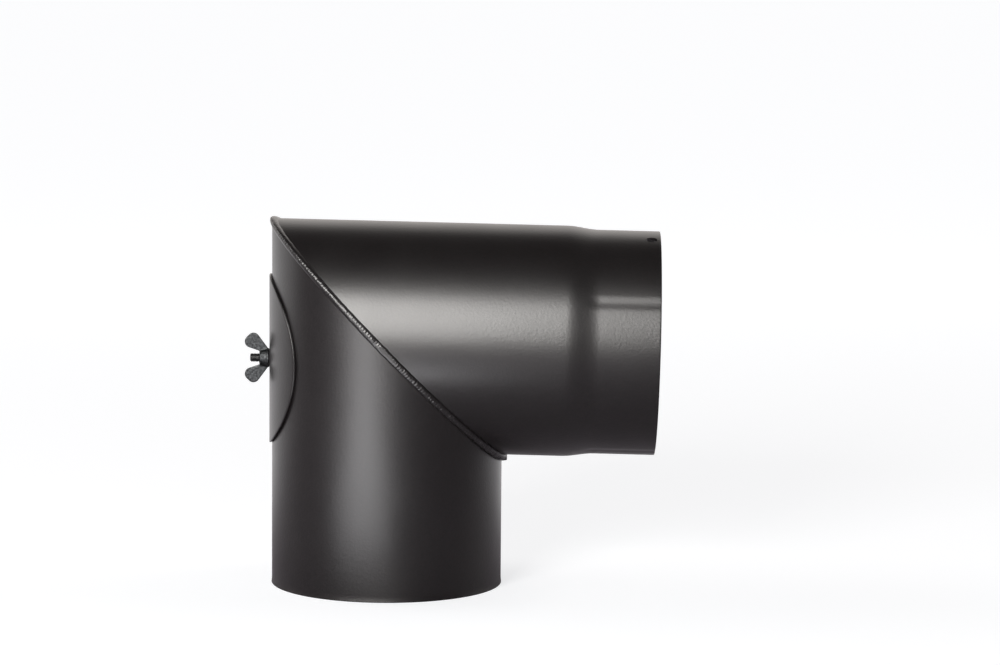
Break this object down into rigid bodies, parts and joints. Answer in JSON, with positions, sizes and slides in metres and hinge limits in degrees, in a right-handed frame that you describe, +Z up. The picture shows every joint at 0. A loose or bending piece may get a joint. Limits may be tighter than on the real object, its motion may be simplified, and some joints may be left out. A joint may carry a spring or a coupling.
{
  "type": "stove pipe elbow",
  "caption": "Mitred steel flue pipe elbow with a plain socket, a swaged spigot and a clamped cover over a cleaning opening.",
  "frame": {"origin": "centre of the socket's rim, on the lower leg's axis", "axes": "+Z up the lower leg, +X towards the side leg and its spigot, the cleaning cover at -X, the picture's side at -Y"},
  "size_m": [0.2767, 0.1562, 0.2455],
  "materials": {
    "stove_paint": "satin heat resistant paint, anthracite",
    "black_steel": "blackened steel, satin",
    "dark_zinc": "dull dark zinc"
  },
  "bodies": {
    "elbow": {"lower_pipe": "stove_paint", "upper_pipe": "stove_paint", "mitre_weld": "stove_paint", "clamp_bar": "black_steel", "clamp_bolt": "black_steel"},
    "cover": {"cleaning_cover": "stove_paint"},
    "nut": {"wing_nut": "dark_zinc"}
  },
  "joints": [
    {"name": "cover_lift", "type": "slide", "parent": "elbow", "child": "cover", "axis": [-1, 0, 0], "range_m": [0, 0.006]},
    {"name": "wing_nut_turn", "type": "hinge", "parent": "cover", "child": "nut", "pos_m": [-0.0855, 0, 0.1508], "axis": [-1, 0, 0], "range_deg": [0, 2160]}
  ],
  "couplings": [
    {"joint": "wing_nut_turn", "follows": "cover_lift", "rad_per_m": 6283.2}
  ]
}
